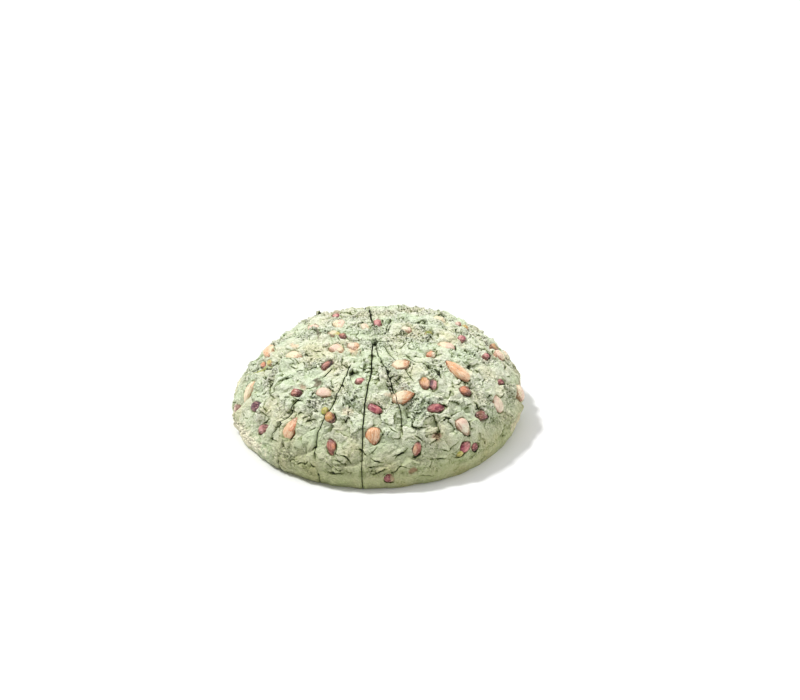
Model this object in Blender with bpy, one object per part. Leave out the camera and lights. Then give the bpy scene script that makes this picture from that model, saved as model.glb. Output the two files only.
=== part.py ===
"""A round cake of pistachio nougat, cut into wedges that still stand together.

Each wedge is one solid: a lumpy crust, two flat knife faces that meet at a thin tip, and a flat underside.
Each almond that shows in the crust is a solid of its own in a pocket of its wedge, and an almond that the
knife went through is one solid on each side of the cut.

Metres, +Z up. The origin is on the underside, where the knife cuts meet. An azimuth is in degrees from the
front (-Y) towards the right (+X). A run is the distance along the crust from the top of the cake outwards.
"""

import math
import random
from bisect import bisect_right

import bmesh
import bpy
from mathutils import Vector, noise

RADIUS = 0.130
HEIGHT = 0.078
WIDEST_SHARE = 0.19  # height of the widest ring, as a share of HEIGHT
CROWN_POWER = 0.60  # the smaller, the squarer the shoulder
RISE_POWER = 1.48  # the larger, the flatter the top
TUCK = 0.03  # how far the foot draws in, as a share of RADIUS
LEAN = 0.006  # how far the rings of the shoulder sit towards +X
DIMPLE_DEPTH = 0.003  # where the cuts meet the top sinks in
DIMPLE_RADIUS = 0.011
PROFILE_STEPS = 480

PILLOW_SIZE = 0.021  # spacing of the crust's pillows
PILLOW_HEIGHT = 0.0026
PILLOW_EDGE = 0.45  # share of a pillow's spacing over which its flank rises
PILLOW_WANDER = 0.5  # how far the pillows' outlines stray, in pillow sizes
STRAY_STEPS = (0, 31.7, 67.3)  # where the stray's three samples are taken, far from each other
SWELL_SIZE = 0.055
SWELL_HEIGHT = 0.0034
RELIEF_LIFT = 0.65  # share of PILLOW_HEIGHT that lies below the smooth form
FOOT_RUN = 0.156  # the crease above the smooth foot: from just above it down, the relief fades
FOOT_FADE = 0.6

# The knife cuts: azimuth and width of the gap, in degrees and millimetres.
CUTS = (
    (-5.5, 1.6), (10.5, 0.9), (23.5, 0.6), (40, 0.8), (65, 0.6), (87, 0.6), (108, 0.6), (127, 0.6), (146, 0.8),
    (165, 0.7), (187, 1.7), (208, 0.6), (230, 0.6), (252, 0.6), (274, 0.6), (302, 0.6), (318.5, 0.7), (337, 0.7),
)
TIP_WIDTH = 0.0005

# The almonds of the near side: azimuth, run, turn of the long axis from straight downhill, length and width,
# in degrees and millimetres.
ALMONDS = (
    (-1.6, 125, 5, 15, 13), (14, 92, 103, 20, 11), (22.3, 56, 108, 19, 13), (53, 83, 176, 27, 12),
    (60, 126, 149, 18, 13), (36, 129, 17, 17, 12), (-29.5, 93, 101, 18, 10), (-37.8, 132, 172, 21, 12),
    (-78.8, 136, 29, 22, 13), (-75, 80, 120, 21, 11), (-55.5, 43, 101, 17, 12), (-37.5, 33, 43, 14, 11),
    (-94.4, 106, 103, 22, 12), (-119, 70, 135, 20, 11), (-130, 46, 142, 18, 12), (74.8, 60, 177, 17, 13),
    (54.9, 56, 92, 12, 8), (128, 72, 40, 20, 12), (93, 111, 63, 20, 11), (79.6, 141, 79, 22, 14),
    (112.5, 29, 60, 13, 10), (-152, 20, 175, 18, 8),
)
FAR_ALMONDS = 10
FAR_AZIMUTHS = (128, 258)
FAR_RUNS = (0.062, 0.156)
FAR_LENGTHS = (0.019, 0.026)
FAR_SEED = 11
FRONT_VIEW = Vector((0, -0.87, 0.49))
FAR_SLOPE = -0.15  # a far almond lies where the crust leans away from the front at least this much
ALMOND_SPACING = 0.028
KNIFE_CLEARANCE = 0.001  # a far almond lies this clear of each cut, or the cut goes through its middle part
MIDDLE_SHARE = 0.4
ALMOND_WIDTH_SHARE = 0.56
ALMOND_THICKNESS = 0.0088
ALMOND_SINK = 0.0024  # how far an almond's middle lies below the crust
ALMOND_POINT = 0.78  # powers that draw out one end of an almond and round off the other
ALMOND_BUTT = 0.48
ALMOND_SIDES = 8
ALMOND_BANDS = 5
SMALLEST_PIECE = 60e-9  # cubic metres: a cut leaves out any less of an almond
POCKET_GAP = 0.0004

CELL = 0.0075  # spacing of the crust's points
MM = 0.001

NOUGAT_GREEN = (0.58, 0.63, 0.46, 1)
ALMOND_CREAM = (0.80, 0.56, 0.36, 1)


def make_profile():
    """The crust's outline from top to foot, as (run, ring radius, height, ring's shift towards +X)."""
    widest = WIDEST_SHARE * HEIGHT
    rows = []
    for step in range(PROFILE_STEPS + 1):
        angle = math.pi / 2 * (1 - step / PROFILE_STEPS)
        ring = RADIUS * math.cos(angle) ** CROWN_POWER if step else 0.0
        dimple = DIMPLE_DEPTH * math.exp(-((ring / DIMPLE_RADIUS) ** 2))
        height = widest + (HEIGHT - widest) * math.sin(angle) ** RISE_POWER - dimple
        rows.append((ring, height, LEAN * math.sin(2 * angle)))
    foot_steps = PROFILE_STEPS // 8
    for step in range(1, foot_steps + 1):
        below = step / foot_steps
        rows.append((RADIUS * (1 - TUCK * below**2), widest * (1 - below), 0.0))
    profile = [(0.0, *rows[0])]
    for last, row in zip(rows, rows[1:]):
        profile.append((profile[-1][0] + math.dist(last[:2], row[:2]), *row))
    return profile


PROFILE = make_profile()
PROFILE_RUNS = [row[0] for row in PROFILE]
FULL_RUN = PROFILE_RUNS[-1]


def ring_at(run):
    """(ring radius, height, shift, outward normal's radial and vertical parts) at a run."""
    after = min(max(bisect_right(PROFILE_RUNS, run), 1), len(PROFILE) - 1)
    low, high = PROFILE[after - 1], PROFILE[after]
    share = (run - low[0]) / (high[0] - low[0])
    ring, height, shift = (a + (b - a) * share for a, b in zip(low[1:], high[1:]))
    out, down = high[1] - low[1], low[2] - high[2]
    steepness = math.hypot(out, down)
    return ring, height, shift, down / steepness, max(out / steepness, 0.0)


def run_at(radius):
    """The run at which the smooth crust is this far from the axis."""
    return next(row[0] for row in PROFILE if row[1] >= radius)


def facing(azimuth):
    angle = math.radians(azimuth)
    return Vector((math.sin(angle), -math.cos(angle), 0))


def stray(point):
    """A smooth shift in each direction, from three samples of the noise."""
    return Vector([noise.noise(point + Vector((step, 0, 0))) for step in STRAY_STEPS])


def smoothstep(low, high, value):
    share = min(max((value - low) / (high - low), 0.0), 1.0)
    return share * share * (3 - 2 * share)


def relief(point, run):
    """How far the crust stands out of the smooth form: soft pillows on a broad swell, flatter at the foot."""
    cell = point / PILLOW_SIZE
    cell += PILLOW_WANDER * stray(cell)
    near, far = noise.voronoi(cell)[0][:2]
    pillow = smoothstep(0.0, PILLOW_EDGE, far - near) - RELIEF_LIFT
    fade = 1 - FOOT_FADE * smoothstep(FOOT_RUN - 0.006, FOOT_RUN + 0.002, run)
    return fade * (PILLOW_HEIGHT * pillow + SWELL_HEIGHT * noise.noise(point / SWELL_SIZE))


def crust(azimuth, run):
    """A point of the crust and the smooth form's normal there."""
    ring, height, shift, radial, vertical = ring_at(run)
    out = facing(azimuth)
    along = shift * out.x
    reach = along + math.sqrt(max(ring**2 - shift**2 + along**2, 0.0))
    smooth = Vector((out.x * reach, out.y * reach, height))
    normal = out * radial + Vector((0, 0, vertical))
    return smooth + normal * relief(smooth, run), normal.normalized()


class Wedge:
    """The room between two neighbouring cuts."""

    def __init__(self, index):
        (self.start, start_gap), (end, end_gap) = CUTS[index], CUTS[(index + 1) % len(CUTS)]
        self.angle = (end - self.start) % 360
        self.start_inset = start_gap * MM / 2
        self.end_inset = end_gap * MM / 2
        self.start_inward = facing(self.start + 90)
        self.end_inward = facing(self.start + self.angle - 90)
        half = math.sin(math.radians(self.angle / 2))
        self.tip = (TIP_WIDTH + self.start_inset + self.end_inset) / (2 * half)

    def inset(self, share):
        """The shift that keeps a point clear of both cuts, a share of the way from the first to the second."""
        first = self.start_inward * self.start_inset * (1 - share)
        return first + self.end_inward * self.end_inset * share

    def point(self, share, run):
        return crust(self.start + self.angle * share, run)[0] + self.inset(share)

    def planes(self):
        """A point and an outward normal for each knife face."""
        yield self.start_inward * self.start_inset, -self.start_inward
        yield self.end_inward * self.end_inset, -self.end_inward


def zip_rows(mesh, upper, lower):
    """Joins two rows of points, which may differ in number, with triangles."""
    i, j = 0, 0
    while i < len(upper) - 1 or j < len(lower) - 1:
        next_upper = (i + 1) / max(len(upper) - 1, 1) if i < len(upper) - 1 else 2
        next_lower = (j + 1) / max(len(lower) - 1, 1) if j < len(lower) - 1 else 2
        if next_upper < next_lower:
            mesh.faces.new((upper[i], lower[j], upper[i + 1]))
            i += 1
        else:
            mesh.faces.new((upper[i], lower[j], lower[j + 1]))
            j += 1


def make_wedge_mesh(wedge):
    first_run = run_at(wedge.tip)
    row_count = round((FULL_RUN - first_run) / CELL)
    mesh = bmesh.new()
    rows = []
    for step in range(row_count + 1):
        run = first_run + (FULL_RUN - first_run) * step / row_count
        cells = max(1, round(ring_at(run)[0] * math.radians(wedge.angle) / CELL))
        rows.append([mesh.verts.new(wedge.point(cell / cells, run)) for cell in range(cells + 1)])
    for upper, lower in zip(rows, rows[1:]):
        zip_rows(mesh, upper, lower)
    tips = [mesh.verts.new((corner.co.x, corner.co.y, 0)) for corner in (rows[0][0], rows[0][-1])]
    mesh.faces.new([tips[0], *(row[0] for row in rows)][::-1])
    mesh.faces.new([tips[1], *(row[-1] for row in rows)])
    mesh.faces.new((tips[0], tips[1], rows[0][-1], rows[0][0]))
    mesh.faces.new([tips[1], tips[0], *rows[-1]])
    bmesh.ops.recalc_face_normals(mesh, faces=mesh.faces)
    return mesh


class Almond:
    """Where one almond lies in the crust, and how big it is."""

    def __init__(self, azimuth, run, turn, length, width):
        crust_point, self.up = crust(azimuth, run)
        self.azimuth = azimuth
        self.centre = crust_point - self.up * ALMOND_SINK
        downhill = facing(azimuth + 90).cross(self.up)
        angle = math.radians(turn)
        self.along = downhill * math.cos(angle) + facing(azimuth + 90) * math.sin(angle)
        self.across = self.up.cross(self.along)
        self.half_sizes = length / 2, width / 2, ALMOND_THICKNESS / 2

    def mesh(self, extra=0.0):
        """A flattened drop, with one end drawn out, and extra added all round."""
        long, wide, thick = (half + extra for half in self.half_sizes)
        fullest = (ALMOND_BUTT - ALMOND_POINT) / (ALMOND_BUTT + ALMOND_POINT)
        most = (1 - fullest) ** ALMOND_POINT * (1 + fullest) ** ALMOND_BUTT
        mesh = bmesh.new()
        ends = [mesh.verts.new(self.centre + self.along * long * sign) for sign in (-1, 1)]
        rings = []
        for band in range(1, ALMOND_BANDS):
            place = -math.cos(math.pi * band / ALMOND_BANDS)
            girth = (1 - place) ** ALMOND_POINT * (1 + place) ** ALMOND_BUTT / most
            middle = self.centre + self.along * long * place
            ring = []
            for side in range(ALMOND_SIDES):
                angle = 2 * math.pi * side / ALMOND_SIDES
                offset = self.across * wide * math.cos(angle) + self.up * thick * math.sin(angle)
                ring.append(mesh.verts.new(middle + offset * girth))
            rings.append(ring)
        for side in range(ALMOND_SIDES):
            other = (side + 1) % ALMOND_SIDES
            mesh.faces.new((ends[0], rings[0][other], rings[0][side]))
            mesh.faces.new((ends[1], rings[-1][side], rings[-1][other]))
            for ring, next_ring in zip(rings, rings[1:]):
                mesh.faces.new((ring[side], ring[other], next_ring[other], next_ring[side]))
        bmesh.ops.recalc_face_normals(mesh, faces=mesh.faces)
        return mesh


def knife_suits(almond):
    """Whether every knife cut either misses the almond or goes through its middle part."""
    for azimuth, _ in CUTS:
        normal = facing(azimuth + 90)
        if almond.centre.dot(facing(azimuth)) < 0:
            continue
        sizes = zip(almond.half_sizes, (almond.along, almond.across, almond.up))
        reach = math.hypot(*(half * axis.dot(normal) for half, axis in sizes))
        distance = abs(almond.centre.dot(normal))
        if MIDDLE_SHARE * reach < distance < reach + KNIFE_CLEARANCE:
            return False
    return True


def near_almonds():
    return [Almond(azimuth, run * MM, turn, length * MM, width * MM)
            for azimuth, run, turn, length, width in ALMONDS]


def far_almonds(taken):
    """Almonds strewn over the side away from the front, none too near another."""
    dice = random.Random(FAR_SEED)
    found = []
    while len(found) < FAR_ALMONDS:
        length = dice.uniform(*FAR_LENGTHS)
        almond = Almond(dice.uniform(*FAR_AZIMUTHS), dice.uniform(*FAR_RUNS), dice.uniform(0, 180),
                        length, length * ALMOND_WIDTH_SHARE)
        apart = all((almond.centre - other.centre).length > ALMOND_SPACING for other in taken + found)
        if apart and almond.up.dot(FRONT_VIEW) < FAR_SLOPE and knife_suits(almond):
            found.append(almond)
    return found


def trim(mesh, wedge):
    """Cuts off what lies outside the wedge's knife faces, and says whether enough is left."""
    for point, outward in wedge.planes():
        parts = [*mesh.verts, *mesh.edges, *mesh.faces]
        cut = bmesh.ops.bisect_plane(mesh, geom=parts, plane_co=point, plane_no=outward, clear_outer=True)
        rim = [item for item in cut["geom_cut"] if isinstance(item, bmesh.types.BMEdge)]
        if rim:
            bmesh.ops.edgeloop_fill(mesh, edges=rim)
    bmesh.ops.recalc_face_normals(mesh, faces=mesh.faces)
    return bool(mesh.faces) and mesh.calc_volume() > SMALLEST_PIECE


def add_object(name, mesh, material=None):
    data = bpy.data.meshes.new(name)
    mesh.to_mesh(data)
    mesh.free()
    item = bpy.data.objects.new(name, data)
    bpy.context.scene.collection.objects.link(item)
    if material:
        data.materials.append(material)
        data.shade_smooth()
        data.set_sharp_from_angle(angle=math.radians(50))
    return item


def largest_island(mesh):
    """The points of the mesh's biggest connected piece."""
    unseen = set(mesh.verts)
    islands = []
    while unseen:
        island = []
        edge = [unseen.pop()]
        while edge:
            point = edge.pop()
            island.append(point)
            around = {link.other_vert(point) for link in point.link_edges} & unseen
            unseen -= around
            edge.extend(around)
        islands.append(island)
    return set(max(islands, key=len))


def carve(slab, pockets):
    """Cuts the pockets out of a wedge, and drops any crumb of crust that they cut loose."""
    for number, pocket in enumerate(pockets):
        cutter = add_object(f"pocket_{number}", pocket)
        cut = slab.modifiers.new(cutter.name, "BOOLEAN")
        cut.operation = "DIFFERENCE"
        cut.object = cutter
    graph = bpy.context.evaluated_depsgraph_get()
    mesh = bmesh.new()
    mesh.from_object(slab, graph)
    kept = largest_island(mesh)
    bmesh.ops.delete(mesh, geom=[point for point in mesh.verts if point not in kept], context="VERTS")
    for cut in list(slab.modifiers):
        bpy.data.objects.remove(cut.object)
        slab.modifiers.remove(cut)
    mesh.to_mesh(slab.data)
    mesh.free()


def add_almond(number, almond, wedges, material):
    """Adds a solid for each wedge that holds a piece of the almond, and returns those wedges' numbers."""
    kept = []
    for index, wedge in enumerate(wedges):
        turn = (almond.azimuth - wedge.start + 180) % 360 - 180
        mesh = almond.mesh()
        if -90 < turn < 90 + wedge.angle and trim(mesh, wedge):
            kept.append((index, mesh))
        else:
            mesh.free()
    for letter, (_, mesh) in zip("abc", kept):
        add_object(f"almond_{number:02d}" + (letter if len(kept) > 1 else ""), mesh, material)
    return [index for index, _ in kept]


def make_material(name, colour, roughness):
    material = bpy.data.materials.new(name)
    material.use_nodes = True
    shader = material.node_tree.nodes["Principled BSDF"]
    shader.inputs["Base Color"].default_value = colour
    shader.inputs["Roughness"].default_value = roughness
    shader.inputs["Metallic"].default_value = 0.0
    return material


def main():
    for item in list(bpy.data.objects):
        bpy.data.objects.remove(item)
    nougat = make_material("nougat", NOUGAT_GREEN, 0.6)
    almond_skin = make_material("almond", ALMOND_CREAM, 0.5)
    wedges = [Wedge(index) for index in range(len(CUTS))]
    slabs = [add_object(f"slice_{number:02d}", make_wedge_mesh(wedge), nougat)
             for number, wedge in enumerate(wedges, 1)]
    almonds = near_almonds()
    almonds += far_almonds(almonds)
    pockets = [[] for _ in wedges]
    for number, almond in enumerate(almonds, 1):
        for index in add_almond(number, almond, wedges, almond_skin):
            pockets[index].append(almond.mesh(POCKET_GAP))
    for slab, cutters in zip(slabs, pockets):
        carve(slab, cutters)


main()
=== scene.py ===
"""The looks of a round cake of pistachio nougat, cut into wedges that still stand together.

Every wedge gets a torn, crinkled crust over the same lumps as its CAD solid, and the nuts get their skins.
An azimuth is in degrees from the front (-Y) towards the right (+X), and a run is the distance along the crust
from the top of the cake outwards. Metres, +Z up, as in the frame.
"""

import math
import random

import bmesh
import bpy
import numpy as np
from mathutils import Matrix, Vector, noise


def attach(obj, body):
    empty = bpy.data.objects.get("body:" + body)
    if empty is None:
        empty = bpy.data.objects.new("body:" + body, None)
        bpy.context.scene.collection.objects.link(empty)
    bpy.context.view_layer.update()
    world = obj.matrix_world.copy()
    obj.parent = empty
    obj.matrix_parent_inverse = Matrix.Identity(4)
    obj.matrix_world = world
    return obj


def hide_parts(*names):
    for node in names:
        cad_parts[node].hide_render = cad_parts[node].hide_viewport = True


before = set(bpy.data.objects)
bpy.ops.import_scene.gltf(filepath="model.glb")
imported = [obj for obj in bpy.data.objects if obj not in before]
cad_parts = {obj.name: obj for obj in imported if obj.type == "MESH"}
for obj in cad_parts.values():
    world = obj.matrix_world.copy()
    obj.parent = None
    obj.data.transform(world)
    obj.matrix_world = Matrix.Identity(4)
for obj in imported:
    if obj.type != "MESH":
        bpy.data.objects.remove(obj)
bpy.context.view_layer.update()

MM = 0.001

# The form, as in the CAD.
RADIUS = 0.130
HEIGHT = 0.078
WIDEST_SHARE = 0.19
CROWN_POWER = 0.60
RISE_POWER = 1.48
TUCK = 0.03
LEAN = 0.006
DIMPLE_DEPTH = 0.003
DIMPLE_RADIUS = 0.011
PROFILE_STEPS = 480
PILLOW_SIZE = 0.021
PILLOW_HEIGHT = 0.0026
PILLOW_EDGE = 0.45
PILLOW_WANDER = 0.5
STRAY_STEPS = (0, 31.7, 67.3)
SWELL_SIZE = 0.055
SWELL_HEIGHT = 0.0034
RELIEF_LIFT = 0.65
FOOT_RUN = 0.156  # where the lumps end in a crease above the smooth foot
FOOT_FADE = 0.6
CRUMBLY_RUN = 0.160  # where the foot is crumbly on the left

# The knife cuts, as in the CAD: azimuth and width of the gap, in degrees and millimetres. Then the stretches
# of run along which the soft crust stays open over the cut, and the line that the cut takes on the crust, as
# points of run and azimuth. A cut without such points runs straight, with a little wander.
CUTS = (
    (-5.5, 1.2, ((10, 200),), ((0, -7), (24, -8), (45, -4.8), (63, -4), (91, -6), (119, -6), (173, -5.5))),
    (10.5, 0.8, ((8, 119),), ((0, -3), (24, -0.8), (55, 6.6), (77, 9), (96, 10), (105, 11), (130, 10.5))),
    (23.5, 0.6, ((22, 50), (60, 80)), ((0, 7), (26, 16.6), (48, 19.5), (58, 21.5), (76, 23), (110, 23.5))),
    (40, 0.7, ((22, 40), (44, 86)),
     ((0, 16), (22, 24), (33, 26.5), (47, 33), (60, 36.8), (67, 39.8), (83, 39))),
    (65, 0.5, ((78, 96),), ()),
    (87, 0.5, ((84, 112),), ()),
    (108, 0.5, ((90, 112),), ()),
    (127, 0.6, ((100, 160),), ()),
    (146, 0.8, ((6, 22), (90, 168)), ((0, 110), (5, 124), (19, 140), (50, 146))),
    (165, 0.8, ((12, 44), (80, 168)), ((0, 125), (6, 130), (19, 149), (40, 161), (60, 165))),
    (187, 1.7, ((12, 200),), ((0, 184), (13, 185.3), (43, 186.3), (68, 185.5), (110, 187))),
    (208, 0.6, ((70, 168),), ()),
    (230, 0.6, ((80, 128),), ()),
    (252, 0.6, ((60, 168),), ()),
    (274, 0.6, ((118, 150),), ()),
    (302, 0.5, ((92, 118),), ()),
    (318.5, 1.1, ((64, 82), (105, 152), (157, 176)),
     ((50, 321), (66, 322.7), (81, 323), (110, 318), (123, 318), (133, 316.5), (143, 314), (151, 314),
      (157, 320.6), (174, 319.8))),
    (337, 1.0, ((58, 152), (158, 176)),
     ((50, 338), (67, 338.3), (83, 338.8), (96, 337.7), (109, 337), (118, 336), (128, 335), (134, 335.5),
      (145, 336), (151, 337), (157, 338), (173, 338))),
)
CUT_END = 0.004  # over how long a stretch a cut closes
FOOT_GAP_SHARE = 0.6  # how much of a gap's width is left at the foot
WANDER = 0.8  # how far a straight cut strays, in degrees
WANDER_SIZE = 0.032
TIP_WIDTH = 0.0003  # each wedge ends in an edge this wide
# The knife faces' rim is painted dark, as shade in the narrow gap.
RIM_DEPTH = 0.004  # how far down the knife faces stay dark
KNIFE_DROP = 0.0006  # how far the crust bends down into an open cut
KNIFE_DROP_REACH = 0.0011

# The torn crust: the size of each feature of its relief, and how high, deep or wide it stands out, in metres.
PATCH_SIZE = 0.024
BEND_SIZE = 0.009
BEND_REACH = 0.0028
KINK_SIZE = 0.0032
KINK_REACH = 0.0011
KNOB_SIZE = 0.0085
WRINKLE_SIZE = 0.0050
CRUMB_SIZE = 0.0030
CRUMB_BEND = 0.0008
GRIT_SIZE = 0.0015
CRINKLE_HEIGHT = 0.00125
FLAKE_SIZE = 0.0120
FLAKE_HEIGHT = 0.0024
# How far the painted shadow under a flake's lip and the painted highlight on its crest reach.
FLAKE_LIP_SHADOW = 0.0011
FLAKE_CREST_HIGHLIGHT = 0.0010
CHIP_SIZE = 0.0056
CHIP_HEIGHT = 0.0012
# How far the painted shadow under a chip's lip and the painted highlight on its crest reach.
CHIP_LIP_SHADOW = 0.0006
CHIP_CREST_HIGHLIGHT = 0.0007
LOOSE_SIZE = 0.022
PIT_SPACING = 0.0036
PIT_SHARE = 0.6
PIT_RADII = (0.0004, 0.0011)
PIT_PATCH = 0.015
PIT_DEPTH = 0.0010
CREASE_WIDTH = 0.0022
CREASE_DEPTH = 0.0011
SAG_SIZE = 0.012
SAG_HEIGHT = 0.0008
CRUMBLY_WIDTH = 0.008
CRUMBLY_HEIGHT = 0.0009

CELL = 0.0005  # spacing of the crust's points

# Colours as the screen shows them, from 0 to 255.
COLOURS = {
    "ivory": (240, 234, 206), "cream": (242, 226, 190), "beige": (232, 213, 186), "blush": (238, 205, 184),
    "peach": (238, 192, 152), "apricot": (234, 174, 126), "orange": (226, 150, 110), "tan": (200, 158, 102),
    "ochre": (208, 156, 88), "brown": (142, 92, 66), "umber": (96, 66, 46), "clay": (182, 112, 92),
    "rose": (206, 122, 122), "pink": (228, 164, 158), "crimson": (158, 62, 80), "maroon": (124, 54, 54),
    "plum": (92, 44, 58), "dark": (62, 32, 34), "lime": (188, 192, 78), "moss": (132, 146, 56),
    "straw": (206, 196, 112), "olive": (134, 122, 78), "leaf": (84, 102, 58), "butter": (236, 230, 190),
}

# The almonds of the near side, as in the CAD: azimuth, run, turn of the long axis from straight downhill,
# length and width, in degrees and millimetres. Then how deep it sits, in millimetres, how much of it the
# nougat veils, and its colours on the left and on the right.
ALMONDS = (
    (-1.6, 125, 5, 15, 13, 1.9, 0, "apricot", "peach"), (14, 92, 103, 20, 11, 2.2, 0.1, "cream", "apricot"),
    (22.3, 56, 108, 19, 13, 2.6, 0.15, "cream", "peach"), (53, 83, 176, 27, 12, 0.6, 0, "apricot", "peach"),
    (60, 126, 149, 18, 13, 2.0, 0.1, "blush", "beige"), (36, 129, 17, 17, 12, 2.0, 0.05, "blush", "ivory"),
    (-29.5, 93, 101, 18, 10, 2.3, 0.05, "blush", "cream"),
    (-37.8, 132, 172, 21, 12, 1.6, 0, "peach", "orange"), (-78.8, 136, 29, 22, 13, 0.5, 0, "cream", "peach"),
    (-75, 80, 120, 21, 11, 2.7, 0.35, "cream", "cream"),
    (-55.5, 43, 101, 17, 12, 2.1, 0.1, "blush", "cream"),
    (-37.5, 33, 43, 14, 11, 2.7, 0.35, "beige", "peach"),
    (-94.4, 106, 103, 22, 12, 1.0, 0.05, "peach", "cream"),
    (-119, 70, 135, 20, 11, 1.2, 0.1, "blush", "blush"), (-130, 46, 142, 18, 12, 1.3, 0.1, "cream", "blush"),
    (74.8, 60, 177, 17, 13, 1.8, 0.2, "cream", "blush"), (54.9, 56, 92, 12, 8, 2.2, 0.2, "orange", "ivory"),
    (128, 72, 40, 20, 12, 1.5, 0.2, "cream", "cream"), (93, 111, 63, 20, 11, 1.5, 0.1, "blush", "cream"),
    (79.6, 141, 79, 22, 14, 1.9, 0, "cream", "blush"), (112.5, 29, 60, 13, 10, 2.8, 0.45, "ivory", "blush"),
    (-152, 20, 175, 18, 8, 2.3, 0.1, "beige", "cream"),
)
FAR_ALMONDS = 10
FAR_AZIMUTHS = (128, 258)
FAR_RUNS = (0.062, 0.156)
FAR_LENGTHS = (0.019, 0.026)
FAR_SEED = 11
FRONT_VIEW = Vector((0, -0.87, 0.49))
FAR_SLOPE = -0.15
ALMOND_SPACING = 0.028
KNIFE_CLEARANCE = 0.001
MIDDLE_SHARE = 0.4
ALMOND_WIDTH_SHARE = 0.56
ALMOND_THICKNESS = 0.0088
ALMOND_SINK = 0.0024
FAR_ALMOND_COLOURS = ("cream", "beige", "blush", "peach", "apricot")

# The pistachios of the near side: azimuth, run, turn, length, width, depth, veil and colours, as for almonds.
PISTACHIOS = (
    (-45, 104, 117, 11, 8, 1.9, 0, "clay", "maroon"), (-65, 135, 117, 18, 9.5, 1.0, 0, "plum", "dark"),
    (-80, 155, 119, 12, 8, 2.2, 0.1, "blush", "pink"), (-53, 145, 131, 15, 8, 2.6, 0.2, "pink", "clay"),
    (-21.3, 114, 54, 11, 8.5, 1.9, 0, "ochre", "brown"), (-25, 110, 28, 8, 6, 1.4, 0, "lime", "straw"),
    (-18, 138, 21, 14, 8, 2.0, 0, "clay", "orange"), (-11, 74, 113, 9, 6.5, 2.1, 0.15, "pink", "rose"),
    (-1, 101, 66, 14, 7.5, 2.0, 0, "crimson", "rose"), (-43.8, 64, 178, 15, 7.5, 2.6, 0.25, "clay", "dark"),
    (-96, 39, 150, 15, 10, 1.9, 0.2, "butter", "straw"), (-88.7, 31, 119, 10, 7, 2.4, 0.1, "clay", "brown"),
    (-146, 70, 156, 14, 8, 1.7, 0.15, "pink", "crimson"),
    (-86.5, 112.5, 114, 14, 6, 1.8, 0, "orange", "brown"), (-82, 105, 106, 12, 6, 2.0, 0, "straw", "lime"),
    (178, 28, 1, 15, 10, 2.2, 0.35, "pink", "rose"), (29, 81, 155, 14, 8.5, 1.9, 0, "ochre", "peach"),
    (32.8, 85, 151, 11.6, 7, 1.9, 0.1, "plum", "pink"), (27.9, 107, 80, 16.5, 8, 2.1, 0, "rose", "crimson"),
    (46.3, 102, 49, 12.3, 8.5, 1.9, 0, "orange", "brown"),
    (47, 127, 63, 14, 7.8, 2.0, 0.1, "brown", "maroon"), (34, 145, 107, 13, 8.5, 2.0, 0, "crimson", "rose"),
    (39, 149, 110, 9, 6.5, 2.3, 0.1, "rose", "maroon"), (15, 137, 158, 12.5, 7, 2.2, 0, "peach", "clay"),
    (4, 162, 40, 9, 8, 2.8, 0.45, "rose", "clay"), (92, 44, 77, 13, 8, 1.2, 0.05, "moss", "moss"),
    (92, 73, 63, 13, 7.5, 1.9, 0.15, "pink", "crimson"), (116, 80, 49, 12, 6, 1.5, 0.1, "blush", "clay"),
    (114, 86, 30, 11, 6.5, 1.4, 0.1, "straw", "ochre"), (83, 95, 70, 10, 6, 2.3, 0.3, "pink", "rose"),
    (72, 117, 62, 10, 5.5, 2.4, 0, "rose", "maroon"), (98.5, 108, 54, 15, 9, 1.3, 0, "tan", "olive"),
    (31.5, 149, 100, 9, 5, 1.4, 0, "lime", "straw"),
)
FAR_PISTACHIOS = 16
PISTACHIO_AZIMUTHS = (120, 262)
PISTACHIO_RUNS = (0.035, 0.166)
PISTACHIO_LENGTHS = (0.013, 0.018)
PISTACHIO_SPACING = 0.019
PISTACHIO_SEED = 5
PISTACHIO_THICKNESS = 0.0086
PISTACHIO_WIDTH_SHARE = 0.58
FAR_PISTACHIO_COLOURS = ("crimson", "maroon", "plum", "clay", "rose", "brown", "lime", "ochre")

# The make of each kind of nut: how its point and its butt taper, how ridged it is, how much of its top's
# curve it keeps, how deep its dimples are in metres, and the painted shade that its colour is multiplied by
# low down, where it meets the crust.
NUT_KINDS = {
    "almond": {"powers": (0.78, 0.48), "ridges": 0.025, "crown": 0.95, "dimples": 0.00028,
               "shade": (0.50, 0.32, 0.24)},
    "pistachio": {"powers": (0.62, 0.5), "ridges": 0.05, "crown": 0.78, "dimples": 0.00045,
                  "shade": (0.26, 0.16, 0.14)},
}
NUT_FLOOR = 0.0004  # no nut reaches lower than this
NUT_CELL = 0.0007
CUT_SHARE = 0.85  # an open cut parts a nut if it passes this near the middle, as a share of the reach
SOCKET = 0.0003  # how far a socket reaches past its nut
SOCKET_SLIP = 0.0004  # how far it is off centre, to the right and downhill
NUT_SEED = 50
NUT_SEED_STEP = 7

# Dishes of the near side: azimuth, run, turn, length, width and depth.
DISHES = (
    (13, 105, 10, 15, 7, 2.8), (54, 140, 50, 12, 9, 2.8), (-53, 145, 131, 20, 14, 1.8),
    (41, 117, 33, 8, 5, 2.2), (-37.7, 86, 18, 12, 9, 2.6), (-50, 75, 110, 16, 6, 2.2),
    (-7.5, 15, 10, 12, 9, 4.2), (24, 16, 45, 11, 4, 2.2), (76, 98, 8, 13, 7, 1.8), (27, 43, 60, 10, 7, 1.4),
    (38, 73, 0, 26, 8, 1.3), (68, 66, 95, 13, 4, 1.6), (-46, 96, 79, 10, 7, 1.4), (50, 100, 120, 14, 6, 1.6),
    (-66, 108, 60, 16, 8, 1.4), (-30, 118, 20, 14, 7, 1.4),
)
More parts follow.
